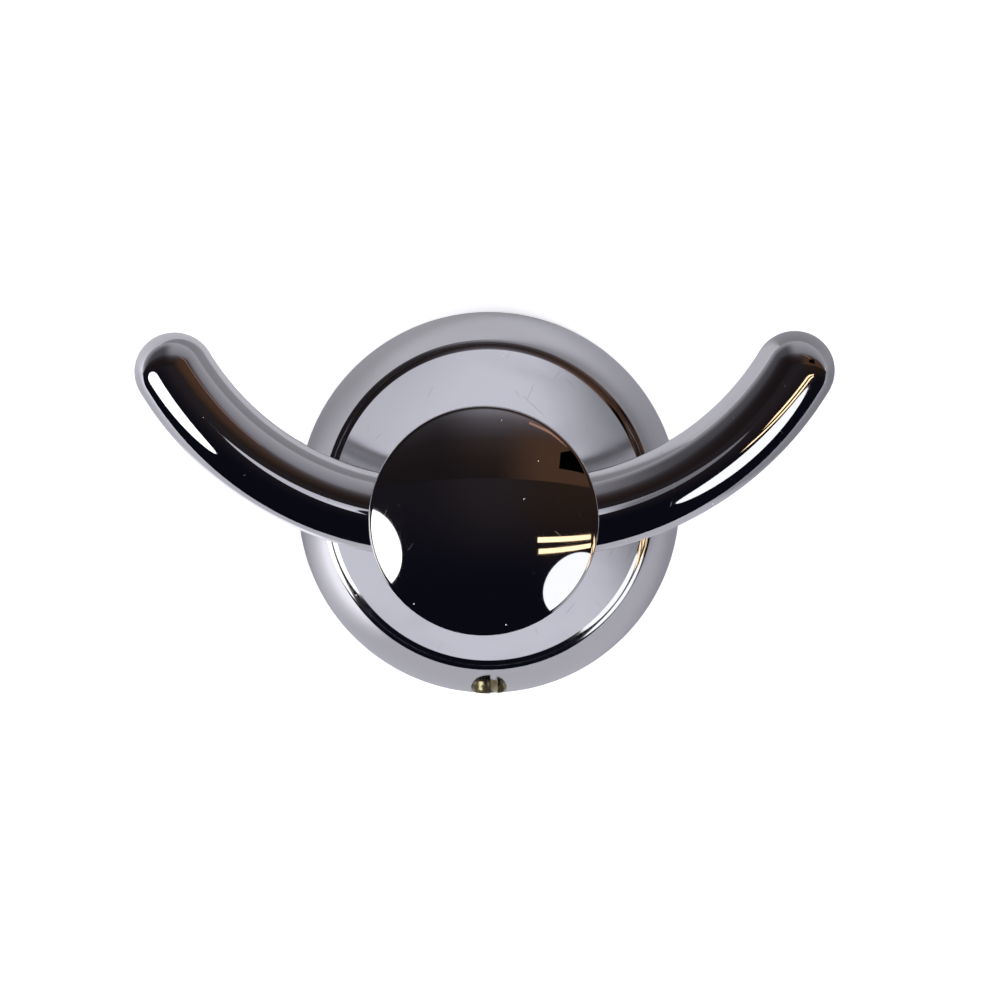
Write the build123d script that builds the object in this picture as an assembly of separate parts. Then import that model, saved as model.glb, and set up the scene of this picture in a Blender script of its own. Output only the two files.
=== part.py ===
from build123d import *
from math import cos, radians, sin, sqrt
import os

os.makedirs("parts", exist_ok=True)

# A double robe hook, in millimetres. It is modelled lying on its back: x runs to the right, y is up on the wall and
# z is the height above the wall. stand_on_wall turns it upright, so that it projects towards -Y.

# Rose: the round shell against the wall
rose_radius = 31.75
rose_face_height = 10.0
band_width = 5.08
band_drop = 1.2
band_bulge = 1.2
shoulder_radius = 1.2
groove_width = 0.37
groove_depth = 0.45
rim_land = 0.8
rim_round = 0.25
rose_wall = 2.3
rose_face_thickness = 2.6

# Bow: one bent round bar with two rounded tips
bar_radius = 5.5
bar_height = 50.0
bow_flat_half = 7.45
bow_radius = 41.0
bow_sweep = 59.4

# Post: the turned stem that carries the bow. Its head is measured from the bar that lies in it.
post_foot_radius = 12.5
post_foot_height = 1.4
post_bead = 1.3
post_waist_radius = 7.4
post_cove_length = 9.0
post_flare_length = 7.0
post_head_land = 0.5
post_head_wall = 3.1

# Cap: the domed disc that closes the post in front of the bow. Its rim stands above the bar.
cap_radius = 15.3
cap_rise = 4.8
cap_rim_land = 1.1
cap_edge_round = 0.3
cap_dome_radius = 35.0
cap_back_slope = 1.6
cap_back_flat = 2.2
cap_tap_end_wall = 3.2

# Tie screw and its split washer. The head fills the room above the bracket's plate.
tie_radius = 2.5
tie_head_radius = 4.6
tie_head_dome = 1.1
tie_slot_width = 1.2
tie_slot_share = 0.45
tie_slot_half = 2.6
washer_thickness = 1.2
washer_outer_radius = 4.7
washer_split = 0.6

# Spigot with two flats that keeps the post from turning in the rose
spigot_radius = 5.2
spigot_flat = 4.1
spigot_length = 1.7

# Wall bracket: a plate with a raised ring that the set screw grips
bracket_plate_thickness = 1.5
bracket_flange = 1.5
bracket_ring_wall = 3.6
bracket_notch_depth = 0.9
wall_hole_radius = 2.4
wall_hole_edge = 2.5

# Set screw in the rim of the rose
set_radius = 3.0
set_height = 4.0
set_inset = 0.35
set_point_radius = 0.5
set_slot_width = 1.3
set_slot_depth = 2.3
set_slot_turn = -18.0
lug_wall = 1.4

# Clearances
saddle_clearance = 0.06
saddle_gap = 0.35
screw_clearance = 0.15
thread_clearance = 0.05
spigot_clearance = 0.1
bracket_clearance = 0.3
bracket_side_clearance = 1.87
point_clearance = 0.1
lug_clearance = 0.5
head_clearance = 1.4

# Rose, from its rim inwards
band_radius = rose_radius - band_width
shoulder_end = band_radius - groove_width
rose_face_radius = shoulder_end - shoulder_radius
rose_cavity = rose_face_height - rose_face_thickness
cavity_radius = band_radius - rose_wall

# Bracket, inside the rose
bracket_ring_radius = cavity_radius - bracket_side_clearance
bracket_plate_radius = bracket_ring_radius + bracket_flange
ring_inner_radius = bracket_ring_radius - bracket_ring_wall
wall_hole_offset = ring_inner_radius - wall_hole_edge - wall_hole_radius
lug_radius = set_radius + lug_wall
set_tip = bracket_ring_radius - bracket_notch_depth + set_point_radius + point_clearance

# Post, cap and tie screw, from the bar and the rose
post_head_radius = bar_radius + post_head_wall
cap_rim_height = bar_height + bar_radius + cap_rise
cap_apex = cap_rim_height + cap_dome_radius - sqrt(cap_dome_radius**2 - (cap_radius - cap_edge_round) ** 2)
tie_seat = rose_cavity - washer_thickness
tie_head_low = bracket_plate_thickness + head_clearance
tie_slot_depth = tie_slot_share * (tie_seat - tie_head_low)


def turned(outline):
    """Revolve a closed outline of (radius, height) edges about the hook's axis."""
    return revolve(Plane.XZ * make_face(outline), Axis.Z)


def rod(radius, low, high):
    """Round rod on the hook's axis between two heights."""
    return Pos(0, 0, low) * Cylinder(radius, high - low, align=(Align.CENTER, Align.CENTER, Align.MIN))


def downward_rod(radius, inner, outer):
    """Round rod on the set screw's line, between two distances below the hook's axis."""
    return Pos(0, -inner, set_height) * Rot(90, 0, 0) * Cylinder(
        radius, outer - inner, align=(Align.CENTER, Align.CENTER, Align.MIN)
    )


def double_flat_plug(radius, flat, low, high):
    """Short round plug with two flats, for the spigot and the pocket that it sits in."""
    plug = rod(radius, low, high)
    slab = Pos(0, 0, (low + high) / 2) * Box(2 * flat, 2 * radius, high - low)
    return plug & slab


def bow(radius):
    """Bent bar of a given radius: a straight middle, two equal bends and a half ball on each end."""
    sweep_angle = radians(bow_sweep)
    tip = (bow_flat_half + bow_radius * sin(sweep_angle), bow_radius * (1 - cos(sweep_angle)), bar_height)
    path = Line((0, 0, bar_height), (bow_flat_half, 0, bar_height))
    path += JernArc(start=(bow_flat_half, 0, bar_height), tangent=(1, 0, 0), radius=bow_radius, arc_size=bow_sweep)
    section = Plane(origin=(0, 0, bar_height), z_dir=(1, 0, 0)) * Circle(radius)
    half = sweep(section, path=path)
    end_plane = Plane(origin=tip, z_dir=(cos(sweep_angle), sin(sweep_angle), 0))
    half += end_plane * Sphere(radius, arc_size1=0, arc_size2=90, align=(Align.CENTER, Align.CENTER, Align.MIN))
    return half + mirror(half, Plane.YZ)


def make_escutcheon():
    """Rose: flat face, rounded shoulder, fine groove and a sloping band, hollow behind."""
    band_height = rose_face_height - band_drop
    groove_floor = rose_face_height - shoulder_radius - groove_depth
    face = Line((0, rose_face_height), (rose_face_radius, rose_face_height))
    shoulder = JernArc(start=face @ 1, tangent=(1, 0), radius=shoulder_radius, arc_size=-90)
    groove = Polyline(
        shoulder @ 1, (shoulder_end, groove_floor), (band_radius, groove_floor), (band_radius, band_height)
    )
    band = SagittaArc((band_radius, band_height), (rose_radius, rim_land), band_bulge)
    rim = Polyline(
        (rose_radius, rim_land), (rose_radius, rim_round), (rose_radius - rim_round, 0), (0, 0), (0, rose_face_height)
    )
    envelope = turned(face + shoulder + groove + band + rim)
    inner_rim = (rose_radius - rose_wall, 0)
    inner_top = (cavity_radius, rose_cavity)
    inside = SagittaArc(inner_rim, inner_top, -band_bulge)
    cavity = turned(Line((0, 0), inner_rim) + inside + Polyline(inner_top, (0, rose_cavity), (0, 0)))
    lug = downward_rod(lug_radius, bracket_plate_radius + lug_clearance, rose_radius) & envelope
    shell = envelope - cavity + lug
    shell -= downward_rod(set_radius + thread_clearance, set_tip, rose_radius + 1)
    pocket_floor = rose_face_height - spigot_length - spigot_clearance
    shell -= double_flat_plug(
        spigot_radius + spigot_clearance, spigot_flat + spigot_clearance, pocket_floor, rose_face_height
    )
    return shell - rod(tie_radius + screw_clearance, 0, rose_face_height)


def make_post():
    """Turned stem with a beaded foot, a long waist and a saddle that the bar lies in."""
    foot = rose_face_height
    waist_low = foot + post_cove_length
    flare_top = bar_height - bar_radius - post_head_land
    waist_high = flare_top - post_flare_length
    top = bar_height - saddle_gap
    base = Polyline((0, foot), (post_foot_radius, foot), (post_foot_radius, foot + post_foot_height))
    bead = JernArc(start=base @ 1, tangent=(0, 1), radius=post_bead, arc_size=90)
    step = Line(bead @ 1, (bead @ 1) - (post_bead, 0))
    cove = Spline(
        step @ 1, (post_waist_radius, waist_low), tangents=[(-0.4, 1), (0, 1)]
    )
    waist = Line((post_waist_radius, waist_low), (post_waist_radius, waist_high))
    flare = Spline(
        (post_waist_radius, waist_high), (post_head_radius, flare_top), tangents=[(0, 1), (0, 1)]
    )
    head = Polyline((post_head_radius, flare_top), (post_head_radius, top), (0, top), (0, foot))
    stem = turned(base + bead + step + cove + waist + flare + head)
    stem += double_flat_plug(spigot_radius, spigot_flat, foot - spigot_length, foot)
    stem -= rod(tie_radius + screw_clearance, foot - spigot_length, top)
    return stem - bow(bar_radius + saddle_clearance)


def make_arms():
    """The bow, cross-drilled in the middle for the tie screw."""
    return bow(bar_radius) - rod(tie_radius + screw_clearance, bar_height - 2 * bar_radius, bar_height + 2 * bar_radius)


def make_front_cap():
    """Domed disc with a short neck, saddled over the bar and tapped blind for the tie screw."""
    low = bar_height + saddle_gap
    edge_top = cap_rim_height
    back_height = cap_rim_height - cap_edge_round - cap_rim_land
    hub_height = back_height - cap_back_slope
    hub_radius = post_head_radius + cap_back_flat
    neck = Polyline((0, low), (post_head_radius, low), (post_head_radius, low + (hub_height - low) / 2))
    throat = Spline(neck @ 1, (hub_radius, hub_height), tangents=[(0, 1), (1, 0.3)])
    back = Line((hub_radius, hub_height), (cap_radius, back_height))
    land = Line((cap_radius, back_height), (cap_radius, edge_top - cap_edge_round))
    edge = JernArc(start=land @ 1, tangent=(0, 1), radius=cap_edge_round, arc_size=90)
    dome = RadiusArc(edge @ 1, (0, cap_apex), -cap_dome_radius)
    middle = Line((0, cap_apex), (0, low))
    cap = turned(neck + throat + back + land + edge + dome + middle)
    cap -= rod(tie_radius + thread_clearance, low, cap_apex - cap_tap_end_wall)
    return cap - bow(bar_radius + saddle_clearance)


def make_tie_screw():
    """Long machine screw: domed head behind the rose, plain shank, cross-slotted head."""
    head_side = tie_head_low + tie_head_dome
    dome_radius = (tie_head_radius**2 + tie_head_dome**2) / (2 * tie_head_dome)
    rise = Polyline((0, tie_seat), (tie_head_radius, tie_seat), (tie_head_radius, head_side))
    dome = RadiusArc(rise @ 1, (0, tie_head_low), dome_radius)
    head = turned(rise + dome + Line((0, tie_head_low), (0, tie_seat)))
    shank = rod(tie_radius, tie_seat, cap_apex - cap_tap_end_wall - screw_clearance)
    screw = head + shank
    for turn in (0, 90):
        screw -= Pos(0, 0, tie_head_low + tie_slot_depth / 2) * Rot(0, 0, turn) * Box(
            2 * tie_slot_half, tie_slot_width, tie_slot_depth
        )
    return screw


def make_lock_washer():
    """Split spring washer, pressed flat."""
    ring = rod(washer_outer_radius, tie_seat, rose_cavity) - rod(tie_radius + screw_clearance, tie_seat, rose_cavity)
    split = Pos(washer_outer_radius / 2 + tie_radius / 2, 0, tie_seat + washer_thickness / 2) * Rot(25, 0, 0)
    return ring - split * Box(washer_outer_radius, washer_split, 3 * washer_thickness)


def make_wall_bracket():
    """Mounting plate with a raised ring, a vee notch round the ring and two screw holes."""
    ring_top = rose_cavity - bracket_clearance
    notch_radius = bracket_ring_radius - bracket_notch_depth
    outline = Polyline(
        (0, 0), (bracket_plate_radius, 0), (bracket_plate_radius, bracket_plate_thickness),
        (bracket_ring_radius, bracket_plate_thickness), (bracket_ring_radius, set_height - bracket_notch_depth),
        (notch_radius, set_height), (bracket_ring_radius, set_height + bracket_notch_depth),
        (bracket_ring_radius, ring_top), (ring_inner_radius, ring_top), (ring_inner_radius, bracket_plate_thickness),
        (0, bracket_plate_thickness), (0, 0),
    )
    bracket = turned(outline)
    for side in (-1, 1):
        bracket -= Pos(side * wall_hole_offset, 0, 0) * rod(wall_hole_radius, 0, bracket_plate_thickness)
    return bracket


def make_set_screw():
    """Slotted headless screw with a cone point that seats in the bracket's vee notch."""
    outer = rose_radius - set_inset
    cone_end = set_tip + set_radius - set_point_radius
    outline = Polyline(
        (0, set_tip), (set_point_radius, set_tip), (set_radius, cone_end), (set_radius, outer), (0, outer), (0, set_tip)
    )
    slot = Rot(0, 0, set_slot_turn) * Pos(0, 0, outer - set_slot_depth / 2) * Box(
        set_slot_width, 2 * set_radius + 1, set_slot_depth
    )
    return Pos(0, 0, set_height) * Rot(90, 0, 0) * (turned(outline) - slot)


pieces = {
    "escutcheon": make_escutcheon,
    "wall_bracket": make_wall_bracket,
    "set_screw": make_set_screw,
    "post": make_post,
    "arms": make_arms,
    "front_cap": make_front_cap,
    "tie_screw": make_tie_screw,
    "lock_washer": make_lock_washer,
}
stand_on_wall = Rot(90, 0, 0)
for name, make in pieces.items():
    export_step(stand_on_wall * make(), f"parts/{name}.step")
print(f"projects {cap_apex:.2f} mm, rose {2 * rose_radius:.1f} mm across")
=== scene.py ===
import bpy
import math
import numpy as np
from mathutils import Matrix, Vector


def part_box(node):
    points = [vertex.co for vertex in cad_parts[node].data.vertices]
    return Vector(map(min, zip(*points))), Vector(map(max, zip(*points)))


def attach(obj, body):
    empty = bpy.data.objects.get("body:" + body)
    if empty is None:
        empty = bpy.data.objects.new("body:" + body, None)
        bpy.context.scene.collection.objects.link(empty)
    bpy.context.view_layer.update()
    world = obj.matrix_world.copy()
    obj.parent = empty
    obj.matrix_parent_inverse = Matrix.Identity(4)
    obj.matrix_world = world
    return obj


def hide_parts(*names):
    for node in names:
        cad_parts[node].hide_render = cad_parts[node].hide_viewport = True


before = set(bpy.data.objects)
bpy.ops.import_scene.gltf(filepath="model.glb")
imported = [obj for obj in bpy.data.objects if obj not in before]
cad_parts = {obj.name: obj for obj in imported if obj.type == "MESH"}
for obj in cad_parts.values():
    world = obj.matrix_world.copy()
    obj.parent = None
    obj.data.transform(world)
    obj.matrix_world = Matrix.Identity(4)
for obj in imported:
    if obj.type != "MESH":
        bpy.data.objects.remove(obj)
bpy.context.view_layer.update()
print("frame loaded with", len(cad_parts), "nodes")

mm = 0.001


# Lowest and highest corner of a node of the frame, in millimetres
def boxOf(node):
    low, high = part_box(node)
    return np.array(low) / mm, np.array(high) / mm


# A place given as right, up and height above the wall, turned into the frame's x, y and z
def onWall(right, up, height):
    right, up, height = np.broadcast_arrays(right, up, height)
    return np.stack([right, -height, up], axis=-1).astype(float)


roseLow, roseHigh = boxOf("escutcheon")
armsLow, armsHigh = boxOf("arms")
capLow, capHigh = boxOf("front_cap")
postHigh = boxOf("post")[1]
screwLow, screwHigh = boxOf("set_screw")

# What the frame fixes, and the other sizes that pieces share, in millimetres
hook = {
    "roseRadius": roseHigh[0],
    "roseHeight": -roseLow[1],
    "barRadius": (armsHigh[1] - armsLow[1]) / 2,
    "barHeight": -(armsHigh[1] + armsLow[1]) / 2,
    "bowHalfWidth": armsHigh[0],
    "bowTop": armsHigh[2],
    "capRadius": capHigh[0],
    "capApex": -capLow[1],
    "footRadius": postHigh[0],
    "headRadius": 8.6,
    "saddleClearance": 0.06,
    "saddleGap": 0.35,
    "saddleRows": 16,
    "tieRadius": 2.5,
    "tieClearance": 0.15,
}


# Shapes

# A straight stretch of an outline between two (radius, height) points
def linePoints(start, end, count):
    t = np.linspace(0, 1, count)[:, None]
    return np.array(start) * (1 - t) + np.array(end) * t


# A round stretch: centre + radius * (cos angle, sin angle), with the angle running evenly between two in degrees
def arcPoints(centre, radius, fromAngle, toAngle, count):
    angle = np.radians(np.linspace(fromAngle, toAngle, count))
    return np.array(centre) + radius * np.stack([np.cos(angle), np.sin(angle)], axis=1)


# A smooth stretch between two points with given directions: the cubic whose end slopes are the directions times
# the distance between the points
def easedPoints(start, end, startDirection, endDirection, count):
    start, end = np.array(start, float), np.array(end, float)
    reach = np.linalg.norm(end - start)
    leave = np.array(startDirection, float) / np.linalg.norm(startDirection) * reach
    arrive = np.array(endDirection, float) / np.linalg.norm(endDirection) * reach
    t = np.linspace(0, 1, count)[:, None]
    return ((2 * t**3 - 3 * t**2 + 1) * start + (t**3 - 2 * t**2 + t) * leave
            + (3 * t**2 - 2 * t**3) * end + (t**3 - t**2) * arrive)


# An arc through two points that stands off the straight line between them by a given height, on its left side
def bulgedPoints(start, end, bulge, count):
    start, end = np.array(start, float), np.array(end, float)
    chord = end - start
    length = np.linalg.norm(chord)
    side = np.array([-chord[1], chord[0]]) / length
    radius = (length**2 / (8 * abs(bulge)) + abs(bulge) / 2) * np.sign(bulge)
    centre = (start + end) / 2 + side * (bulge - radius)
    first = math.degrees(math.atan2(*(start - centre)[::-1]))
    turn = -2 * math.degrees(math.asin(length / 2 / radius))
    return arcPoints(centre, abs(radius), first, first + turn, count)


# Joins stretches into one outline and drops points that repeat
def joined(*parts):
    outline = np.concatenate(parts)
    step = np.linalg.norm(np.diff(outline, axis=0), axis=1)
    return outline[np.concatenate([[True], step > 1e-5])]


# Takes the corners off a run of straight lines: each inner corner becomes an arc of its own radius that touches both
def softCorners(points, radii, count=5):
    points = np.array(points, float)
    parts = [points[:1]]
    for before, corner, after, radius in zip(points[:-2], points[1:-1], points[2:], radii):
        back = (before - corner) / np.linalg.norm(before - corner)
        onward = (after - corner) / np.linalg.norm(after - corner)
        half = math.acos(np.clip(back @ onward, -1, 1)) / 2
        centre = corner + (back + onward) / np.linalg.norm(back + onward) * radius / math.sin(half)
        first = np.arctan2(*(corner + back * radius / math.tan(half) - centre)[::-1])
        last = np.arctan2(*(corner + onward * radius / math.tan(half) - centre)[::-1])
        turn = (last - first + math.pi) % (2 * math.pi) - math.pi
        parts.append(arcPoints(centre, radius, math.degrees(first), math.degrees(first + turn), count))
    return joined(*parts, points[-1:])


# Puts points along long straight stretches of an outline, so that no step is longer than the given one
def evenSteps(outline, longest):
    step = np.linalg.norm(np.diff(outline, axis=0), axis=1)
    parts = [linePoints(a, b, 1 + max(1, math.ceil(s / longest))) for a, b, s in zip(outline[:-1], outline[1:], step)]
    return joined(*parts)


# Turns an outline of (radius, height) about the hook's axis: x = radius * cos(angle), z = radius * sin(angle)
def turnedRings(outline, columns):
    angle = np.linspace(0, 2 * math.pi, columns, endpoint=False)[None, :]
    radius, height = outline[:, :1], outline[:, 1:]
    return onWall(radius * np.cos(angle), radius * np.sin(angle), height + 0 * angle)


# Makes a mesh object from rings of points (rings x columns x xyz, in millimetres). Each ring closes on itself, a ring
# shrunk to one place becomes a pole, and with loop=True the last ring joins the first.
def ringObject(name, rings, loop=False, sharpAngle=38):
    rows, columns = rings.shape[:2]
    pole = np.ptp(rings, axis=1).max(axis=1) < 1e-6
    first = np.concatenate([[0], np.cumsum(np.where(pole, 1, columns))[:-1]])
    number = first[:, None] + np.where(pole[:, None], 0, np.arange(columns)[None, :])
    places = rings[~pole[:, None] | (np.arange(columns)[None, :] == 0)] * mm
    low, high = (number, np.roll(number, -1, axis=0)) if loop else (number[:-1], number[1:])
    quads = np.stack([low, np.roll(low, -1, axis=1), np.roll(high, -1, axis=1), high], axis=-1).reshape(-1, 4)
    lowPole, highPole = quads[:, 0] == quads[:, 1], quads[:, 2] == quads[:, 3]
    triangles = np.concatenate([quads[lowPole][:, [0, 2, 3]], quads[highPole][:, [0, 1, 2]]])
    quads = quads[~(lowPole | highPole)]
    halves = np.concatenate([quads[:, [0, 1, 2]], quads[:, [0, 2, 3]], triangles])
    corners = places[halves]
    volume = np.einsum("ij,ij->i", corners[:, 0], np.cross(corners[:, 1], corners[:, 2])).sum()
    if volume < 0:
        quads, triangles = quads[:, ::-1], triangles[:, ::-1]
    mesh = bpy.data.meshes.new(name)
    mesh.from_pydata(places.tolist(), [], quads.tolist() + triangles.tolist())
    mesh.shade_smooth()
    mesh.set_sharp_from_angle(angle=math.radians(sharpAngle))
    piece = bpy.data.objects.new(name, mesh)
    bpy.context.scene.collection.objects.link(piece)
    return piece


# Cuts (or adds) one object from another with an exact Boolean, and keeps the result as the piece's own mesh
def cutWith(piece, tool, operation="DIFFERENCE", sharpAngle=38):
    cut = piece.modifiers.new("cut", "BOOLEAN")
    cut.operation, cut.object, cut.solver = operation, tool, "EXACT"
    graph = bpy.context.evaluated_depsgraph_get()
    mesh = bpy.data.meshes.new_from_object(piece.evaluated_get(graph))
    piece.modifiers.clear()
    piece.data = mesh
    mesh.shade_smooth()
    mesh.set_sharp_from_angle(angle=math.radians(sharpAngle))
    bpy.data.objects.remove(tool)
    return piece


# Hands a finished piece over: its body, the CAD nodes that it stands for and its material
def finishPiece(piece, nodes, material):
    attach(piece, "root")
    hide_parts(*nodes)
    piece.data.materials.clear()
    piece.data.materials.append(material)
    print(piece.name, "has", len(piece.data.polygons), "faces")


# Node tools

# A small helper that adds shader nodes and links them, for materials, groups and the world alike
class Nodes:
    def __init__(self, tree):
        self.tree = tree

    def add(self, kind, settings=None, **inputs):
        node = self.tree.nodes.new(kind)
        for key, value in (settings or {}).items():
            setattr(node, key, value)
        for key, value in inputs.items():
            self.feed(node.inputs[int(key[1:]) if key[1:].isdigit() else key.replace("_", " ")], value)
        return node

    def feed(self, socket, value):
        if isinstance(value, bpy.types.NodeSocket):
            self.tree.links.new(value, socket)
        else:
            socket.default_value = value

    def math(self, operation, a, b=0.0, clamp=False):
        return self.add("ShaderNodeMath", {"operation": operation, "use_clamp": clamp}, i0=a, i1=b).outputs[0]

    def vector(self, operation, a, b=(0.0, 0.0, 0.0)):
        node = self.add("ShaderNodeVectorMath", {"operation": operation}, i0=a, i1=b)
        return node.outputs["Value" if operation in ("DOT_PRODUCT", "LENGTH", "DISTANCE") else "Vector"]

    def mixColor(self, factor, a, b):
        node = self.add("ShaderNodeMix", {"data_type": "RGBA"}, i0=factor, i6=a, i7=b)
        return node.outputs[2]

    def place(self):
        return self.add("ShaderNodeTexCoord").outputs["Object"]

    def bump(self, surface, height, strength, depth):
        node = self.add("ShaderNodeBump", Height=height, Strength=strength, Distance=depth)
        self.feed(surface["Normal"], node.outputs[0])

    def glow(self, color, strength):
        node = self.add("ShaderNodeEmission", Color=color, Strength=strength)
        self.add("ShaderNodeOutputMaterial", Surface=node.outputs[0])

    def ramp(self, value, low, high, fromValue=0.0, toValue=1.0, smooth=True):
        kind = "SMOOTHSTEP" if smooth else "LINEAR"
        node = self.add("ShaderNodeMapRange", {"interpolation_type": kind}, Value=value)
        for socket, number in zip(("From Min", "From Max", "To Min", "To Max"), (low, high, fromValue, toValue)):
            self.feed(node.inputs[socket], number)
        return node.outputs["Result"]


# An empty node group with named inputs (name, kind, value) and outputs (name, kind)
def newGroup(name, inputs, outputs):
    group = bpy.data.node_groups.new(name, "ShaderNodeTree")
    for label, kind, value in inputs:
        socket = group.interface.new_socket(label, in_out="INPUT", socket_type="NodeSocket" + kind)
        if value is not None:
            socket.default_value = value
    for label, kind in outputs:
        group.interface.new_socket(label, in_out="OUTPUT", socket_type="NodeSocket" + kind)
    nodes = Nodes(group)
    return nodes, nodes.add("NodeGroupInput").outputs, nodes.add("NodeGroupOutput").inputs


# Hairline scratches: each cell of a cell pattern holds one short straight line, where the surface crosses a plane
# through the cell's centre. The plane's direction comes from the cell's random colour, and only some cells have one.
def hairlineGroup():
    nodes, given, result = newGroup(
        "hairlineScratches",
        [("Vector", "Vector", None), ("Scale", "Float", 1.0), ("Share", "Float", 0.3), ("Width", "Float", 0.000014)],
        [("Mask", "Float"), ("Height", "Float")],
    )
    lines = None
    for cellsPerMetre, shift in ((130.0, 0.0), (310.0, 0.7), (620.0, 1.9)):
        moved = nodes.add("ShaderNodeMapping", Vector=given["Vector"], Location=(shift, shift * 0.3, -shift))
        scale = nodes.math("MULTIPLY", given["Scale"], cellsPerMetre)
        cells = nodes.add("ShaderNodeTexVoronoi", Vector=moved.outputs[0], Scale=scale).outputs
        lean = nodes.vector("NORMALIZE", nodes.vector("SUBTRACT", cells["Color"], (0.5, 0.5, 0.5)))
        away = nodes.vector("DOT_PRODUCT", nodes.vector("SUBTRACT", moved.outputs[0], cells["Position"]), lean)
        line = nodes.math("LESS_THAN", nodes.math("ABSOLUTE", away), given["Width"])
        pick = nodes.add("ShaderNodeSeparateColor", Color=cells["Color"])
        chosen = nodes.math("LESS_THAN", pick.outputs[0], given["Share"])
        short = nodes.ramp(cells["Distance"], 0.3, 0.5, 1.0, 0.0)
        line = nodes.math("MULTIPLY", nodes.math("MULTIPLY", line, chosen), short)
        lines = line if lines is None else nodes.math("MAXIMUM", lines, line)
    nodes.feed(result["Mask"], lines)
    nodes.feed(result["Height"], nodes.math("SUBTRACT", 1.0, lines))
    return nodes.tree


# Dust: a few cells of a cell pattern hold one small round grain each
def dustGroup():
    nodes, given, result = newGroup(
        "dustSpecks",
        [("Vector", "Vector", None), ("Scale", "Float", 500.0), ("Share", "Float", 0.1), ("Size", "Float", 0.1)],
        [("Mask", "Float")],
    )
    cells = nodes.add("ShaderNodeTexVoronoi", Vector=given["Vector"], Scale=given["Scale"])
    pick = nodes.add("ShaderNodeSeparateColor", Color=cells.outputs["Color"])
    chosen = nodes.math("LESS_THAN", pick.outputs[0], given["Share"])
    size = nodes.math("MULTIPLY", given["Size"], nodes.ramp(pick.outputs[1], 0.0, 1.0, 0.4, 1.0, smooth=False))
    grain = nodes.math("LESS_THAN", cells.outputs["Distance"], size)
    nodes.feed(result["Mask"], nodes.math("MULTIPLY", grain, chosen))
    return nodes.tree


# Handling film: broad soft smears that dull the polish a little
def filmGroup():
    nodes, given, result = newGroup(
        "handlingFilm",
        [("Vector", "Vector", None), ("Scale", "Float", 60.0), ("Clean", "Float", 0.03), ("Smeared", "Float", 0.09)],
        [("Roughness", "Float")],
    )
    smear = nodes.add("ShaderNodeMapping", Vector=given["Vector"], Scale=(1.0, 1.0, 2.2), Rotation=(0.3, 0.6, 0.2))
    noise = nodes.add("ShaderNodeTexNoise", Vector=smear.outputs[0], Scale=given["Scale"], Detail=4.0, Distortion=0.6)
    mask = nodes.ramp(noise.outputs["Fac"], 0.42, 0.72)
    clean = nodes.math("MULTIPLY", nodes.math("SUBTRACT", 1.0, mask), given["Clean"])
    smeared = nodes.math("MULTIPLY", mask, given["Smeared"])
    nodes.feed(result["Roughness"], nodes.math("ADD", clean, smeared))
    return nodes.tree


groups = {"hairlines": hairlineGroup(), "dust": dustGroup(), "film": filmGroup()}


# A material with an empty tree
def emptyMaterial(name):
    material = bpy.data.materials.new(name)
    material.use_nodes = True
    material.node_tree.nodes.clear()
    return material, Nodes(material.node_tree)


# A metal's material, with its shader's inputs and the place on the object that its pattern goes by
def metalMaterial(name):
    material, nodes = emptyMaterial(name)
    shader = nodes.add("ShaderNodeBsdfPrincipled", Metallic=1.0)
    nodes.add("ShaderNodeOutputMaterial", Surface=shader.outputs[0])
    return material, nodes, shader.inputs, nodes.place()


# Places a shared group in a material with its own values
def useGroup(nodes, key, **inputs):
    node = nodes.add("ShaderNodeGroup", {"node_tree": groups[key]})
    for name, value in inputs.items():
        nodes.feed(node.inputs[name], value)
    return node.outputs


# Bright chrome plate: a mirror with hairlines, a thin film of handling and a little dust
def makeChrome(name, look):
    material, nodes, surface, place = metalMaterial(name)
    film = useGroup(nodes, "film", Vector=place, Scale=look["filmScale"], Clean=look["clean"], Smeared=look["smeared"])
    scratch = useGroup(nodes, "hairlines", Vector=place, Scale=look["scratchScale"], Share=look["scratchShare"])
    dust = useGroup(nodes, "dust", Vector=place, Scale=look["dustScale"], Share=look["dustShare"],
                    Size=look["dustSize"])
    rough = nodes.math("ADD", film["Roughness"], nodes.math("MULTIPLY", scratch["Mask"], look["scratchRough"]))
    rough = nodes.math("MAXIMUM", rough, nodes.math("MULTIPLY", dust["Mask"], look["dustRough"]), clamp=True)
    nodes.feed(surface["Base Color"], nodes.mixColor(dust["Mask"], (*look["color"], 1), (*look["dustColor"], 1)))
    nodes.feed(surface["Metallic"], nodes.math("SUBTRACT", 1.0, dust["Mask"]))
    nodes.feed(surface["Roughness"], rough)
    nodes.bump(surface, scratch["Height"], look["scratchBump"], look["scratchDepth"])
    return material


# A depth is in metres, a scale in pattern cells per metre (the scratches' one multiplies three such scales), a share
# is that of the cells that hold a scratch or a grain, and the dust's size is in cells
chromeLook = {
    "color": (0.62, 0.62, 0.64), "clean": 0.025, "smeared": 0.06, "filmScale": 55.0,
    "scratchScale": 1.0, "scratchShare": 0.14, "scratchRough": 0.14, "scratchBump": 0.05, "scratchDepth": 0.00002,
    "dustScale": 420.0, "dustShare": 0.3, "dustSize": 0.06, "dustRough": 0.8, "dustColor": (0.75, 0.74, 0.72),
}
roseLook = dict(chromeLook, clean=0.08, smeared=0.115, scratchShare=0.06, dustShare=0.06)
polishedChrome = makeChrome("polishedChrome", chromeLook)
roseChrome = makeChrome("roseChrome", roseLook)
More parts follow.
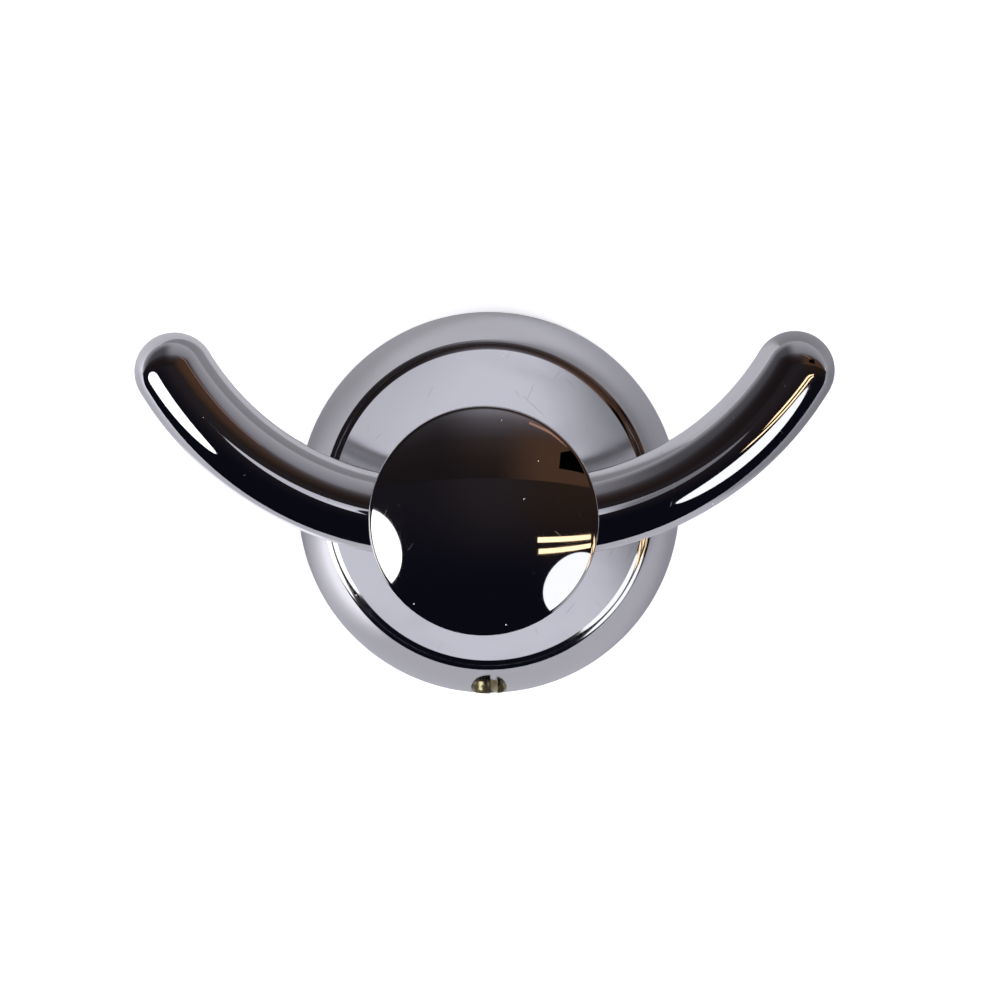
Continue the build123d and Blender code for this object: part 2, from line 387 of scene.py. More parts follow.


# Yellow metal of the little screw: turned and tarnished, with a slot whose walls are painted a bright cream, partly as
# bare cut metal and partly as a painted highlight. The slot's walls are where the distance from its middle plane,
# x * cos(turn) + (y + height) * sin(turn), is no more than half its width.
def makeBrass(look, slotTurn, slotWidth, height):
    material, nodes, surface, place = metalMaterial("tarnishedBrass")
    noise = nodes.add("ShaderNodeTexNoise", Vector=place, Scale=look["stainScale"], Detail=5.0).outputs["Fac"]
    stain = nodes.ramp(noise, 0.4, 0.62)
    plane = (math.cos(math.radians(slotTurn)), math.sin(math.radians(slotTurn)), 0.0)
    away = nodes.vector("DOT_PRODUCT", nodes.vector("ADD", place, (0.0, height * mm, 0.0)), plane)
    cut = nodes.math("LESS_THAN", nodes.math("ABSOLUTE", away), (slotWidth / 2 + look["cutMargin"]) * mm)
    tarnish = nodes.mixColor(stain, (*look["color"], 1), (*look["stainColor"], 1))
    # The slot's walls get a bright cream: bare cut metal with a painted highlight
    nodes.feed(surface["Base Color"], nodes.mixColor(cut, tarnish, (*look["cutGlintColor"], 1)))
    rough = nodes.ramp(stain, 0.0, 1.0, look["rough"], look["stainRough"])
    nodes.feed(surface["Roughness"], nodes.math("MAXIMUM", rough, nodes.math("MULTIPLY", cut, look["cutRough"])))
    nodes.bump(surface, noise, look["bump"], look["bumpDepth"])
    return material


brassLook = {
    "color": (0.40, 0.36, 0.22), "rough": 0.22, "stainColor": (0.15, 0.125, 0.07), "stainRough": 0.5,
    # The cut's colour is a bright cream that paints a highlight into the slot besides the bare cut metal
    "stainScale": 900.0, "cutGlintColor": (0.97, 0.93, 0.76), "cutRough": 0.4, "cutMargin": 0.01,
    "bump": 0.3, "bumpDepth": 0.00005,
}


# Grey metal, grainy, with soft cloudy patches: die-cast zinc, or smoother plated steel
def makeGreyMetal(name, look):
    material, nodes, surface, place = metalMaterial(name)
    cloud = nodes.add("ShaderNodeTexNoise", Vector=place, Scale=look["cloudScale"], Detail=4.0).outputs["Fac"]
    grain = nodes.add("ShaderNodeTexNoise", Vector=place, Scale=look["grainScale"], Detail=3.0).outputs["Fac"]
    tone = nodes.ramp(cloud, 0.35, 0.7)
    nodes.feed(surface["Base Color"], nodes.mixColor(tone, (*look["dark"], 1), (*look["light"], 1)))
    nodes.feed(surface["Roughness"], nodes.ramp(grain, 0.3, 0.7, *look["rough"]))
    nodes.bump(surface, grain, look["grain"], look["grainDepth"])
    return material


zincLook = {
    "dark": (0.42, 0.43, 0.44), "light": (0.6, 0.61, 0.62), "cloudScale": 120.0, "rough": (0.4, 0.6),
    "grain": 0.6, "grainScale": 2600.0, "grainDepth": 0.00006,
}
steelLook = dict(zincLook, dark=(0.55, 0.56, 0.6), light=(0.7, 0.7, 0.72), rough=(0.15, 0.35), grain=0.15)
castZinc = makeGreyMetal("castZinc", zincLook)
platedSteel = makeGreyMetal("platedSteel", steelLook)
print("materials ready")


# Bow

bow = {"sweep": 58.9, "columns": 144, "bendRows": 110, "straightRows": 8, "endRows": 26}


# The bow's middle line, right half: a straight run, then an arc of the bend's radius up to the tip
def bowLine():
    sweep = math.radians(bow["sweep"])
    tipRight, tipUp = hook["bowHalfWidth"] - hook["barRadius"], hook["bowTop"] - hook["barRadius"]
    bendRadius = tipUp / (1 - math.cos(sweep))
    return tipRight - bendRadius * math.sin(sweep), bendRadius, sweep


# How far the bow's middle line has risen at a given distance to the side
def bowRise(right):
    flatHalf, bendRadius, sweep = bowLine()
    out = np.clip(np.abs(right) - flatHalf, 0, bendRadius * math.sin(sweep))
    return bendRadius - np.sqrt(bendRadius**2 - out**2)


# A round bar carried along the middle line: each ring is centre + r * (cos b * inward + sin b * outward), where r
# is the bar's radius, and over the half ball at each end r = R cos(a) while the centre moves on by R sin(a)
def makeBow():
    flatHalf, bendRadius, sweep = bowLine()
    radius = hook["barRadius"]
    turn = np.concatenate([np.zeros(bow["straightRows"]), np.linspace(0, sweep, bow["bendRows"])[1:]])
    along = np.concatenate([np.linspace(0, flatHalf, bow["straightRows"]), np.full(bow["bendRows"] - 1, flatHalf)])
    right, up = along + bendRadius * np.sin(turn), bendRadius * (1 - np.cos(turn))
    ball = np.radians(np.linspace(0, 90, bow["endRows"]))[1:]
    right = np.concatenate([right, right[-1] + radius * np.sin(ball) * math.cos(sweep)])
    up = np.concatenate([up, up[-1] + radius * np.sin(ball) * math.sin(sweep)])
    turn = np.concatenate([turn, np.full(len(ball), sweep)])
    ring = np.concatenate([np.full(len(turn) - len(ball), radius), radius * np.cos(ball)])
    ring[-1] = 0
    right, turn = np.concatenate([-right[:0:-1], right]), np.concatenate([-turn[:0:-1], turn])
    up, ring = np.concatenate([up[:0:-1], up]), np.concatenate([ring[:0:-1], ring])
    around = np.linspace(0, 2 * math.pi, bow["columns"], endpoint=False)[None, :]
    across = ring[:, None] * np.cos(around)
    rings = onWall(right[:, None] - across * np.sin(turn)[:, None], up[:, None] + across * np.cos(turn)[:, None],
                   hook["barHeight"] + ring[:, None] * np.sin(around))
    return ringObject("bowArms", rings)


finishPiece(makeBow(), ["arms"], polishedChrome)


# Saddles: where the post and the cap meet the bar, their ends follow the bar's surface with a small clearance.
# The height there is the bar's middle height -/+ sqrt(R^2 - s^2), s being the distance from the middle line.
def saddleHeight(right, up, side):
    reach = hook["barRadius"] + hook["saddleClearance"]
    away = up - bowRise(right)
    cover = np.sqrt(np.maximum(reach**2 - away**2, 0))
    return hook["barHeight"] + side * np.maximum(cover, hook["saddleGap"])


# The rings of a saddled end. First the head's round wall, from a given height to the saddle's edge, or no wall where
# the edge lies beyond that height, and then the saddle from the wall in to the bore.
def saddleRings(start, wallRows, bore, columns, side):
    angle = np.linspace(0, 2 * math.pi, columns, endpoint=False)[None, :]
    right, up = hook["headRadius"] * np.cos(angle), hook["headRadius"] * np.sin(angle)
    edge = start + side * np.minimum(side * (saddleHeight(right, up, side) - start), 0)
    wall = onWall(right, up, start + (edge - start) * np.linspace(0, 1, wallRows)[1:, None])
    radii = np.linspace(hook["headRadius"], bore, hook["saddleRows"])[1:, None]
    right, up = radii * np.cos(angle), radii * np.sin(angle)
    return np.concatenate([wall, onWall(right, up, saddleHeight(right, up, side))])


# Cap

cap = {
    "rimHeight": 60.3, "domeRadius": 35.0, "edgeRound": 0.3, "rimLand": 1.1, "backRound": 0.2, "backSlope": 1.6,
    "backFlat": 2.2, "boreEnd": 3.2, "threadClearance": 0.05, "columns": 240, "longestStep": 0.8, "domeRows": 60,
    "edgeRows": 7, "throatRows": 24, "neckRows": 14,
}


# The domed disc: a ball's cap, a small round edge, the rim, a sloping back, a throat and a neck, all turned, and
# then the saddle and the blind bore
def makeCap():
    radius, edge = hook["capRadius"], cap["edgeRound"]
    dome = math.degrees(math.asin((radius - edge) / cap["domeRadius"]))
    backHeight = cap["rimHeight"] - edge - cap["rimLand"]
    hubRadius, hubHeight = hook["headRadius"] + cap["backFlat"], backHeight - cap["backSlope"]
    low = hook["barHeight"] + hook["saddleGap"]
    throatLow = low + (hubHeight - low) / 2
    front = arcPoints((0, hook["capApex"] - cap["domeRadius"]), cap["domeRadius"], 90, 90 - dome, cap["domeRows"])
    front[0, 0] = 0
    rim = arcPoints((radius - edge, cap["rimHeight"] - edge), edge, 75, 0, cap["edgeRows"])
    back = softCorners([rim[-1], (radius, backHeight), (hubRadius, hubHeight)], [cap["backRound"]])
    throat = easedPoints((hubRadius, hubHeight), (hook["headRadius"], throatLow), (-1, -0.3), (0, -1),
                         cap["throatRows"])
    outline = joined(evenSteps(joined(front, rim, back), cap["longestStep"]), throat)
    outer = turnedRings(outline, cap["columns"])
    bore = hook["tieRadius"] + cap["threadClearance"]
    saddle = saddleRings(throatLow, cap["neckRows"], bore, cap["columns"], 1)
    depth = hook["capApex"] - cap["boreEnd"]
    end = turnedRings(np.array([(bore, depth), (bore * 0.5, depth), (0, depth)]), cap["columns"])
    return ringObject("domedCap", np.concatenate([outer, saddle, end]))


finishPiece(makeCap(), ["front_cap"], polishedChrome)


# Post

post = {
    "footHeight": 1.4, "footRound": 0.15, "bead": 1.3, "waistRadius": 7.4, "waistStart": 9.0, "waistEnd": 27.0,
    "flareLength": 7.0, "spigotRadius": 5.2, "spigotFlat": 4.1, "spigotLength": 1.7, "spigotEdge": 0.3,
    "columns": 192, "longestStep": 0.9, "beadRows": 14, "coveRows": 26, "flareRows": 22, "headRows": 10,
}


# A round outline with two flats: the radius is the smaller of the round one and flat / |cos(angle)|
def flattedRing(radius, flat, height, columns):
    angle = np.linspace(0, 2 * math.pi, columns, endpoint=False)
    reach = np.minimum(radius, flat / np.maximum(np.abs(np.cos(angle)), 1e-6))
    return onWall(reach * np.cos(angle), reach * np.sin(angle), height)[None]


# The stem: spigot with two flats, beaded foot, cove, waist, flare, head and the saddle, with the tie screw's bore
def makePost():
    foot = hook["roseHeight"]
    beadTop = foot + post["footHeight"] + post["bead"]
    beadCentre = (hook["footRadius"] - post["bead"], beadTop - post["bead"])
    bead = arcPoints(beadCentre, post["bead"], 0, 90, post["beadRows"])
    footStart = (post["spigotRadius"] + post["spigotEdge"], foot)
    base = softCorners([footStart, (hook["footRadius"], foot), bead[0]], [post["footRound"]])
    step = (bead[-1, 0] - post["bead"], beadTop)
    waistStart = (post["waistRadius"], foot + post["waistStart"])
    waistEnd = (post["waistRadius"], foot + post["waistEnd"])
    flareTop = waistEnd[1] + post["flareLength"]
    cove = easedPoints(step, waistStart, (-0.4, 1), (0, 1), post["coveRows"])
    flare = easedPoints(waistEnd, (hook["headRadius"], flareTop), (0, 1), (0, 1), post["flareRows"])
    outline = evenSteps(joined(base, bead, [step], cove, flare), post["longestStep"])
    stem = turnedRings(outline, post["columns"])
    bore = hook["tieRadius"] + hook["tieClearance"]
    saddle = saddleRings(flareTop, post["headRows"], bore, post["columns"], -1)
    bottom = foot - post["spigotLength"]
    boreEnd = turnedRings(np.array([(bore, bottom)]), post["columns"])
    spigot = [flattedRing(post["spigotRadius"], post["spigotFlat"], height, post["columns"])
              for height in (bottom, foot)]
    return ringObject("turnedPost", np.concatenate([*spigot, stem, saddle, boreEnd]), loop=True)


finishPiece(makePost(), ["post"], polishedChrome)


# Rose

rose = {
    "faceRadius": 25.1, "innerBevel": 0.8, "innerSlopes": (25, 14), "lineWidth": 0.18, "lineDepth": 0.16,
    "lineMiddle": 0.4, "outerBevel": 0.63, "outerSlopes": (15, 32), "edgeRound": 0.12, "bandBulge": 0.46,
    "bandRound": 0.3, "rimLand": 0.8, "rimRound": 0.25, "wall": 2.3, "faceThickness": 2.6,
    "cavityRadius": 24.37, "cavityBulge": 0.5, "pocketRadius": 5.3, "pocketFlat": 4.2, "pocketDepth": 1.8,
    "pocketEdge": 1.5, "screwHole": 2.95, "screwHeight": 4.0, "lugRadius": 4.4, "lugInner": 24.5, "lugSink": 0.8,
    "lugLift": 0.05, "sharpAngle": 11, "columns": 288, "holeColumns": 72, "faceRows": 14, "innerRows": 10,
    "outerRows": 8, "bandRows": 44, "rimRows": 10, "cavityRows": 18, "ceilingRows": 10,
}


# A straight round tool on the set screw's line, between two distances below the hook's axis
def screwLineTool(name, radius, inner, outer):
    angle = np.linspace(0, 2 * math.pi, rose["holeColumns"], endpoint=False)[None, :]
    reach = np.array([0, radius, radius, 0])[:, None]
    below = np.array([inner, inner, outer, outer])[:, None]
    return ringObject(name, onWall(reach * np.cos(angle), -below, rose["screwHeight"] + reach * np.sin(angle)))


# A bevel that is slightly round, or slightly hollow where its slope eases off: an arc of the given width whose slope
# goes from one angle to another. Its radius is width / (sin of the last slope - sin of the first), and its points are
# start + radius * (sine, cosine) differences.
def bevelPoints(start, width, slopes, count):
    slope = np.radians(np.linspace(*slopes, count))
    sine, cosine = np.sin(slope), np.cos(slope)
    radius = width / (sine[-1] - sine[0])
    return np.array(start) + radius * np.stack([sine - sine[0], cosine - cosine[0]], axis=1)


# The rose: a flat face, a narrow hollow bevel, a fine line, a narrow round bevel and a band down to the rim, hollow
# behind, with a pocket for the post's spigot, all turned. A lug inside takes the set screw. It is a round bar that is
# sunk into the cavity's wall and ceiling, and the screw's hole goes through it and the band.
def makeRose():
    top, outer, rimLand = hook["roseHeight"], hook["roseRadius"], rose["rimLand"]
    innerBevel = bevelPoints((rose["faceRadius"], top), rose["innerBevel"], rose["innerSlopes"], rose["innerRows"])
    lineStart, width = innerBevel[-1], rose["lineWidth"]
    line = [lineStart + [width * rose["lineMiddle"], -rose["lineDepth"]], lineStart + [width, 0]]
    outerBevel = bevelPoints(line[-1], rose["outerBevel"], rose["outerSlopes"], rose["outerRows"])
    band = bulgedPoints(outerBevel[-1], (outer, rimLand), rose["bandBulge"], rose["bandRows"])
    edge = softCorners([outerBevel[-3], outerBevel[-1], band[2]], [rose["edgeRound"]])
    rim = softCorners([band[-2], (outer, rimLand), (outer, 0), (outer - rose["wall"], 0)],
                      [rose["bandRound"], rose["rimRound"]], rose["rimRows"])
    inner = bulgedPoints((outer - rose["wall"], 0), (rose["cavityRadius"], top - rose["faceThickness"]),
                         -rose["cavityBulge"], rose["cavityRows"])
    bore = hook["tieRadius"] + hook["tieClearance"]
    ceiling = linePoints(inner[-1], (bore, top - rose["faceThickness"]), rose["ceilingRows"])
    under = joined(edge, band[3:-1], rim, inner, ceiling, [(bore, top - rose["pocketDepth"])])
    face = linePoints((post["spigotRadius"] + rose["pocketEdge"], top), (rose["faceRadius"], top), rose["faceRows"])
    outline = joined(face, innerBevel, line, outerBevel[1:-2], under)
    rings = turnedRings(outline, rose["columns"])
    pocket = [flattedRing(rose["pocketRadius"], rose["pocketFlat"], height, rose["columns"])
              for height in (top - rose["pocketDepth"], top)]
    shell = ringObject("roseShell", np.concatenate([*pocket, rings]), loop=True, sharpAngle=rose["sharpAngle"])
    inWall = inner + [rose["lugSink"], rose["lugLift"]]
    inWall[-1, 1] += rose["lugSink"]
    hollow = turnedRings(joined([(0, rose["lugLift"])], inWall, [(0, inWall[-1, 1])]), rose["columns"])
    lug = screwLineTool("lug", rose["lugRadius"], rose["lugInner"], outer)
    shell = cutWith(shell, cutWith(lug, ringObject("hollow", hollow), "INTERSECT"), "UNION")
    hole = screwLineTool("hole", rose["screwHole"], rose["lugInner"] - 1, outer + 1)
    return cutWith(shell, hole, "DIFFERENCE", rose["sharpAngle"])


finishPiece(makeRose(), ["escutcheon"], roseChrome)


# Set screw

screw = {
    "pitch": 0.8, "threadDepth": 0.35, "threadFade": 0.5, "slotWidth": 1.2, "slotDepth": 2.3, "slotTurn": 18,
    "pointRadius": 0.5, "slack": 0.1, "inset": 0.4, "plainEnd": 2.0, "chamfer": 0.25, "endInset": 0.3,
    "endStep": 0.01, "sharpAngle": 35, "columns": 72, "rowsPerPitch": 14,
}


# The thread: the radius drops by the thread's depth times a triangle wave of (distance / pitch - angle / 360), which
# fades out at the point and before the plain slotted end. There it drops by a chamfer. The cone point and the flat
# end close it.
def makeScrew():
    radius = screwHigh[0] - screw["slack"]
    tip, end = -screwHigh[2], -screwLow[2] - screw["inset"]
    height = -(screwHigh[1] + screwLow[1]) / 2
    coneEnd = tip + radius - screw["pointRadius"]
    rows = int((end - coneEnd) / screw["pitch"] * screw["rowsPerPitch"])
    below = np.linspace(coneEnd, end - screw["endStep"], rows)[:, None]
    angle = np.linspace(0, 2 * math.pi, screw["columns"], endpoint=False)[None, :]
    phase = (below / screw["pitch"] - angle / (2 * math.pi)) % 1
    fade = np.clip(np.minimum(below - coneEnd, end - screw["plainEnd"] - below) / screw["threadFade"], 0, 1)
    reach = radius - screw["threadDepth"] * fade * (1 - np.abs(2 * phase - 1))
    reach = reach + (np.clip((end - below) / screw["chamfer"], 0, 1) * screw["chamfer"] - screw["chamfer"])
    body = onWall(reach * np.cos(angle), -below + 0 * angle, height + reach * np.sin(angle))
    ends = []
    for place, size in ((tip, 0.0), (tip, screw["pointRadius"]), (end, radius - screw["endInset"]), (end, 0.0)):
        ends.append(onWall(size * np.cos(angle), -place, height + size * np.sin(angle)))
    rings = np.concatenate([*ends[:2], body, *ends[2:]])
    piece = ringObject("setScrew", rings, sharpAngle=screw["sharpAngle"])
    return cutWith(piece, screwSlot(end, height, radius + 1), "DIFFERENCE", screw["sharpAngle"])


# The slot's cutter: a block of eight corners across the screw's end, from the slot's bottom to beyond the end
def screwSlot(end, height, reach):
    half = screw["slotWidth"] / 2
    sides = ((-half, -reach), (half, -reach), (half, reach), (-half, reach))
    corners = np.array([(x, y, z) for y in (end - screw["slotDepth"], end + 1) for x, z in sides])
    turn = math.radians(screw["slotTurn"])
    right = corners[:, 0] * math.cos(turn) + corners[:, 2] * math.sin(turn)
    out = corners[:, 2] * math.cos(turn) - corners[:, 0] * math.sin(turn)
    rings = onWall(right, -corners[:, 1], height + out).reshape(2, 4, 3)
    caps = rings.mean(axis=1, keepdims=True).repeat(4, axis=1)
    return ringObject("slot", np.concatenate([caps[:1], rings, caps[1:]]))


brass = makeBrass(brassLook, screw["slotTurn"], screw["slotWidth"], rose["screwHeight"])
finishPiece(makeScrew(), ["set_screw"], brass)

# Pieces whose CAD shape is kept get their finish
for nodeName, material in (("wall_bracket", castZinc), ("tie_screw", platedSteel), ("lock_washer", platedSteel)):
    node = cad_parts[nodeName]
    node.data.materials.clear()
    node.data.materials.append(material)
print("pieces ready")


# Camera

camera = {"place": (0.00335, -0.292, 0.01157), "target": (0.0019, 0.0, 0.0005), "lens": 63.0, "roll": 0.13}


def makeCamera():
    data = bpy.data.cameras.new("camera")
    data.sensor_width, data.lens, data.clip_start = 36, camera["lens"], 0.01
    eye = bpy.data.objects.new("camera", data)
    bpy.context.scene.collection.objects.link(eye)
    place, target = np.array(camera["place"]), np.array(camera["target"])
    look = (target - place) / np.linalg.norm(target - place)
    eye.location = place
    eye.rotation_euler = (math.acos(-look[2]), math.radians(camera["roll"]), math.atan2(-look[0], look[1]))
    bpy.context.scene.camera = eye


makeCamera()


# Stage: a white board on the wall, two round lamps, a far light card that the rose mirrors, a small dark flag that
# keeps the card out of the cap, and the far things of a dark room, all in metres. A place that is one number is a y.
# A fade is the stretch over which a value changes, and a slant is how much of the height adds to the way right.

board = {
    "low": (-1.2, -0.125), "high": (1.2, 1.2), "place": 0.0001, "roseInset": 0.0002, "color": (0.54, 0.54, 0.59),
    "glowColor": (0.97, 0.97, 1.0), "glow": 0.75, "farGlow": 1.1, "glowFade": (0.06, 0.16),
    "aboveFill": 0.25, "aboveFade": (0.0, 0.05), "farFill": 0.25, "farFade": (0.12, 0.6),
    # shade darkens the board's upper right as a painted shadow of the hook, and the spot at its lower left is a
    # painted pool of light; both show in the chrome
    "shade": 0.5, "shadeWay": (0.866, 0.0, 0.5), "shadeFade": (0.03, 0.06),
    "poolGlow": 0.8, "poolPlace": (-0.0565, 0.0, -0.0265), "poolFade": (0.032, 0.012),
}

lamps = {
    "leftLamp": {"place": (-0.4155, -0.3088, -0.1235), "radius": 0.151, "power": 9.0, "glow": 2.4,
                 "color": (1.0, 0.985, 0.97)},
    "rightLamp": {"place": (0.352, -0.3635, -0.281), "radius": 0.143, "power": 11.5, "glow": 1.6,
                  "color": (0.97, 0.98, 1.0)},
}

card = {
    "centre": (-0.024, -0.082), "radius": 0.30, "place": -2.0, "color": (0.905, 0.905, 1.0), "glow": 0.98,
    "rightSlant": 0.264, "rightFade": (0.068, 0.146), "rightShare": 0.27,
    "leftSlant": -0.8, "leftFade": (-0.2, -0.11), "leftShare": 0.82,
}

# The scale tells where a direction seen in the cap crosses the flag: metres on it per unit of the direction's slope
flag = {"centre": (-0.00275, -0.0095), "radius": 0.0235, "place": -0.15, "scale": 0.106}

# The dark room's colours, seen only in the mirror finish. Its fades go by how far a direction points to the side, up
# or in depth (y), and the angles, in degrees, are those above the front.
room = {
    "frontLeft": (0.0145, 0.012, 0.0165), "frontMiddle": (0.027, 0.021, 0.023), "frontRight": (0.031, 0.019, 0.013),
    "leftFade": (-0.6, 0.1), "rightFade": (0.1, 0.6), "low": (0.0045, 0.005, 0.010), "lowFade": (0.3, -0.55),
    "ceilingEdge": 17.4, "ceilingLeft": (0.012, 0.010, 0.012), "dimShare": 0.75, "dimFade": (0.05, -0.4),
    "dimDepth": (0.1, -0.3), "ceilingRight": (0.092, 0.048, 0.029), "litFade": (0.05, 0.5), "litAngles": (50, 35),
    "behind": (0.62, 0.62, 0.64), "behindFade": (0.55, 0.8),
}

farGlows = {
    "strip": {"color": (1.0, 0.72, 0.42), "glow": 2.6}, "line": {"color": (1.0, 0.55, 0.4), "glow": 0.5},
    "beam": {"color": (0.0, 0.0, 0.0), "glow": 0.0},
}

# Far things in that room, each a flat panel with one of these glows and its corners: two slim warm lights, a thin
# warm line under the ceiling and a dark beam
farPanels = {
    "stripUpper": ("strip", [(0.417, -0.954, -0.172), (0.780, -0.682, -0.150), (0.780, -0.682, -0.186),
                             (0.417, -0.954, -0.215)]),
    "stripLower": ("strip", [(0.422, -0.929, -0.264), (0.776, -0.668, -0.214), (0.776, -0.668, -0.248),
                             (0.422, -0.929, -0.306)]),
    "warmLine": ("line", [(0.329, -0.725, 0.688), (0.492, -0.705, 0.606), (0.610, -0.692, 0.505),
                          (0.619, -0.675, 0.512), (0.500, -0.688, 0.617), (0.335, -0.708, 0.698)]),
    "beam": ("beam", [(0.572, -0.746, 0.473), (0.744, -0.563, 0.472), (0.804, -0.610, 0.262),
                      (0.703, -0.712, 0.316), (0.569, -0.812, 0.358)]),
}


# One flat face through the given corners
def flatPanel(name, corners, material, seen=False):
    mesh = bpy.data.meshes.new(name)
    mesh.from_pydata(corners, [], [tuple(range(len(corners)))])
    mesh.materials.append(material)
    panel = bpy.data.objects.new(name, mesh)
    bpy.context.scene.collection.objects.link(panel)
    panel.visible_camera = seen
    return panel


# The corners of an upright rectangle at a given y, in the order that faces -y
def uprightCorners(low, high, place):
    return [(low[0], place, low[1]), (high[0], place, low[1]), (high[0], place, high[1]), (low[0], place, high[1])]


# A disc's corners: centre + radius * (cosine * level direction + sine * upward direction)
def roundCorners(centre, radius, level=(1, 0, 0), upward=(0, 0, 1), count=96):
    angle = np.linspace(0, 2 * math.pi, count, endpoint=False)[:, None]
    return (np.array(centre) + radius * (np.cos(angle) * level + np.sin(angle) * upward)).tolist()


def glowMaterial(name, look):
    material, nodes = emptyMaterial(name)
    nodes.glow((*look["color"], 1), look["glow"])
    return material


# The board: matt, nearly white. The camera also sees a glow on it, so that it is plain white with a soft shadow, and
# its back is clear, as is the part that the rose covers. The lamps reach it less above and far from the hook, and a
# second glow makes up for that. In the chrome it is darker at the upper right, a painted shadow of the hook, and it
# has a painted pool of light, a glowing spot, at the lower left.
def boardMaterial():
    material, nodes = emptyMaterial("whiteBoard")
    seen = nodes.add("ShaderNodeLightPath").outputs["Is Camera Ray"]
    place = nodes.place()
    away = nodes.vector("LENGTH", place)
    height = nodes.add("ShaderNodeSeparateXYZ", Vector=place).outputs[2]
    # Painted shadow of the hook: for all but camera rays the board's colour darkens towards its upper right
    slant = nodes.vector("DOT_PRODUCT", place, board["shadeWay"])
    shade = nodes.ramp(slant, *board["shadeFade"], 1.0, board["shade"])
    color = nodes.mixColor(nodes.math("MAXIMUM", seen, shade), (0, 0, 0, 1), (*board["color"], 1))
    matt = nodes.add("ShaderNodeBsdfDiffuse", Color=color)
    above = nodes.math("MULTIPLY", nodes.ramp(height, *board["aboveFade"]), board["aboveFill"])
    fill = nodes.math("ADD", above, nodes.math("MULTIPLY", nodes.ramp(away, *board["farFade"]), board["farFill"]))
    # Painted pool of light: an extra glow in a round spot at the board's lower left
    offset = nodes.vector("DISTANCE", place, board["poolPlace"])
    paintedPool = nodes.math("MULTIPLY", nodes.ramp(offset, *board["poolFade"]), board["poolGlow"])
    fill = nodes.math("ADD", nodes.math("MULTIPLY", fill, shade), paintedPool)
    plain = nodes.ramp(away, *board["glowFade"], board["glow"], board["farGlow"])
    strength = nodes.math("MAXIMUM", nodes.math("MULTIPLY", seen, plain), fill)
    glow = nodes.add("ShaderNodeEmission", Color=(*board["glowColor"], 1), Strength=strength)
    front = nodes.add("ShaderNodeAddShader", i0=matt.outputs[0], i1=glow.outputs[0])
    clear = nodes.add("ShaderNodeBsdfTransparent")
    back = nodes.add("ShaderNodeNewGeometry").outputs["Backfacing"]
    hidden = nodes.math("MAXIMUM", back, nodes.math("LESS_THAN", away, hook["roseRadius"] * mm - board["roseInset"]))
    mix = nodes.add("ShaderNodeMixShader", i0=hidden, i1=front.outputs[0], i2=clear.outputs[0])
    nodes.add("ShaderNodeOutputMaterial", Surface=mix.outputs[0])
    return material


# The light card's glow: full in the middle, easing down along a slanted line at its right and a little at its
# upper left
def cardMaterial():
    material, nodes = emptyMaterial("lightCard")
    place = nodes.add("ShaderNodeSeparateXYZ", Vector=nodes.place()).outputs
    rightSlant = nodes.math("ADD", place[0], nodes.math("MULTIPLY", place[2], card["rightSlant"]))
    leftSlant = nodes.math("ADD", place[0], nodes.math("MULTIPLY", place[2], card["leftSlant"]))
    fade = nodes.math("MULTIPLY", nodes.ramp(rightSlant, *card["rightFade"], 1.0, card["rightShare"]),
                      nodes.ramp(leftSlant, *card["leftFade"], card["leftShare"], 1.0))
    nodes.glow((*card["color"], 1), nodes.math("MULTIPLY", fade, card["glow"]))
    return material


# The dark wall in front, by how far a direction points right and up: browner on the right, near black below
def frontColor(nodes, side, up):
    front = nodes.mixColor(nodes.ramp(side, *room["leftFade"]), (*room["frontLeft"], 1), (*room["frontMiddle"], 1))
    front = nodes.mixColor(nodes.ramp(side, *room["rightFade"]), front, (*room["frontRight"], 1))
    return nodes.mixColor(nodes.ramp(up, *room["lowFade"]), front, (*room["low"], 1))


# The flag glows as dark as the wall behind it
def flagMaterial():
    material, nodes = emptyMaterial("darkFlag")
    place = nodes.add("ShaderNodeSeparateXYZ", Vector=nodes.place()).outputs
    side, up = [nodes.math("DIVIDE", place[i], flag["scale"]) for i in (0, 2)]
    nodes.glow(frontColor(nodes, side, up), 1.0)
    return material


# A round lamp. What mirrors it shows, in the lamp's stead, a softer glowing disc of its size that faces the hook.
def roundLamp(name, look):
    place = np.array(look["place"])
    data = bpy.data.lights.new(name, "POINT")
    data.energy, data.shadow_soft_size, data.color = look["power"], look["radius"], look["color"]
    lamp = bpy.data.objects.new(name, data)
    bpy.context.scene.collection.objects.link(lamp)
    lamp.location = place
    lamp.visible_camera = lamp.visible_glossy = False
    level = np.cross(place, (0, 0, 1))
    level /= np.linalg.norm(level)
    upward = np.cross(level, place) / np.linalg.norm(place)
    corners = roundCorners(place, look["radius"], level, upward)
    disc = flatPanel(name + "Face", corners, glowMaterial(name + "Face", look))
    disc.visible_diffuse = disc.visible_shadow = False


# An upright disc at a given y: the card or the flag
def uprightDisc(name, look, material):
    centre = (look["centre"][0], look["place"], look["centre"][1])
    flatPanel(name, roundCorners(centre, look["radius"]), material)


def makeStage():
    corners = uprightCorners(board["low"], board["high"], board["place"])
    flatPanel("board", corners, boardMaterial(), seen=True)
    uprightDisc("lightCard", card, cardMaterial())
    uprightDisc("darkFlag", flag, flagMaterial())
    glows = {key: glowMaterial(key + "Glow", look) for key, look in farGlows.items()}
    for name, (glow, corners) in farPanels.items():
        flatPanel(name, corners, glows[glow])
    for name, look in lamps.items():
        roundLamp(name, look)


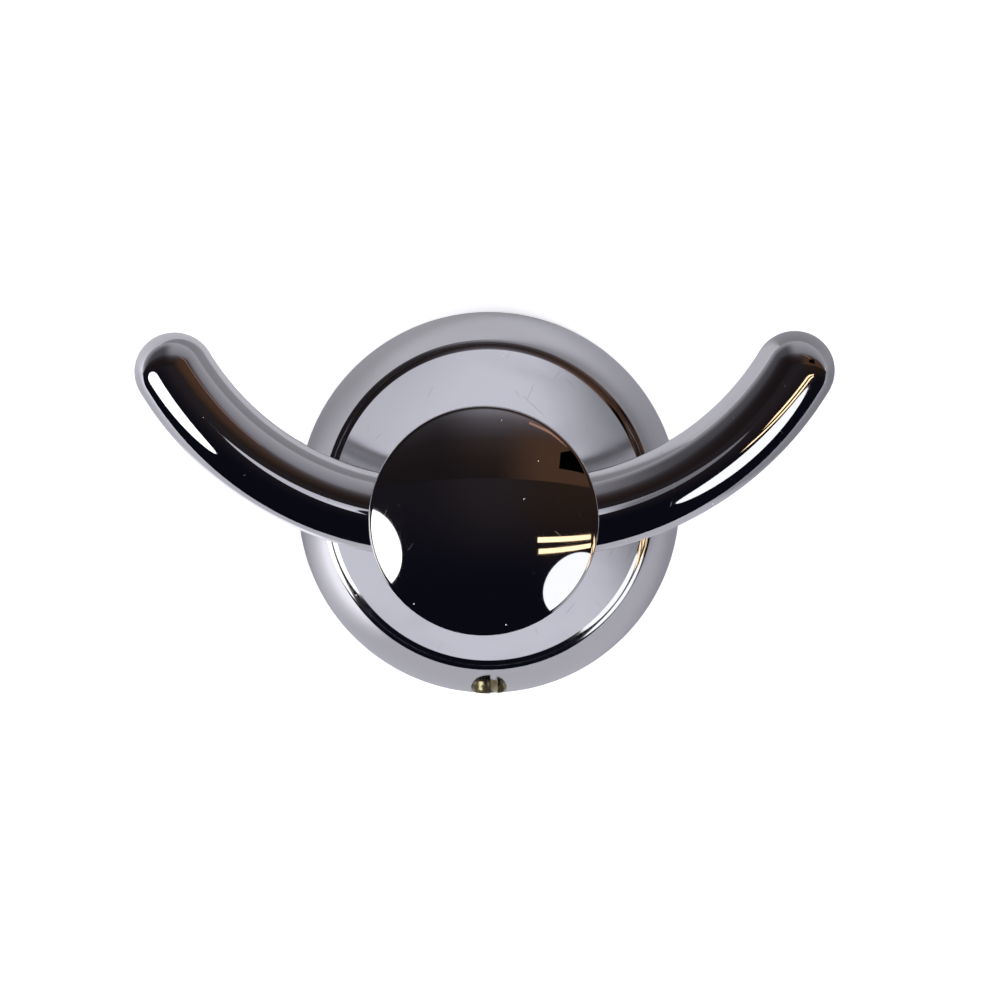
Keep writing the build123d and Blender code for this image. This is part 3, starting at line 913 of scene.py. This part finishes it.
# The ceiling's glow by its angle above the front, in degrees: dark brown in front, grey overhead, pale behind
ceilingStops = [
    (18, (0.019, 0.0145, 0.014)), (27, (0.029, 0.0185, 0.016)), (36, (0.046, 0.034, 0.033)),
    (41, (0.075, 0.064, 0.070)), (46, (0.132, 0.115, 0.126)), (51, (0.26, 0.25, 0.28)), (60, (0.34, 0.33, 0.36)),
    (92, (0.5, 0.49, 0.53)), (110, (0.78, 0.78, 0.82)),
]


# The room, seen only in reflections. The direction's front part is -y, its upper part z. The ceiling's colour goes by
# the angle of the direction above the front, atan(up / front), and is dimmer on the left and warmer on the right.
def makeWorld():
    world = bpy.data.worlds.new("room")
    bpy.context.scene.world = world
    world.use_nodes = True
    world.node_tree.nodes.clear()
    nodes = Nodes(world.node_tree)
    way = nodes.add("ShaderNodeSeparateXYZ", Vector=nodes.add("ShaderNodeTexCoord").outputs["Generated"])
    side, depth, up = way.outputs
    angle = nodes.math("ARCTAN2", up, nodes.math("MULTIPLY", depth, -1.0))
    ceiling = nodes.add("ShaderNodeValToRGB", Fac=nodes.math("DIVIDE", angle, math.pi))
    stops = ceiling.color_ramp.elements
    while len(stops) < len(ceilingStops):
        stops.new(0.5)
    for stop, (degrees, color) in zip(stops, ceilingStops):
        stop.position, stop.color = degrees / 180, (*color, 1)
    dim = nodes.math("MULTIPLY", nodes.ramp(side, *room["dimFade"]), nodes.ramp(depth, *room["dimDepth"]))
    dim = nodes.math("MULTIPLY", dim, room["dimShare"])
    overhead = nodes.mixColor(dim, ceiling.outputs["Color"], (*room["ceilingLeft"], 1))
    litAngles = [math.radians(degrees) for degrees in room["litAngles"]]
    lit = nodes.math("MULTIPLY", nodes.ramp(side, *room["litFade"]), nodes.ramp(angle, *litAngles))
    overhead = nodes.mixColor(lit, overhead, (*room["ceilingRight"], 1))
    isAbove = nodes.math("GREATER_THAN", angle, math.radians(room["ceilingEdge"]))
    around = nodes.mixColor(isAbove, frontColor(nodes, side, up), overhead)
    around = nodes.mixColor(nodes.ramp(depth, *room["behindFade"]), around, (*room["behind"], 1))
    seen = nodes.add("ShaderNodeLightPath").outputs["Is Camera Ray"]
    color = nodes.mixColor(seen, around, (1, 1, 1, 1))
    background = nodes.add("ShaderNodeBackground", Color=color, Strength=1.0)
    nodes.add("ShaderNodeOutputWorld", Surface=background.outputs[0])


makeStage()
makeWorld()
bpy.context.scene.view_settings.view_transform = "Standard"
print("stage ready")
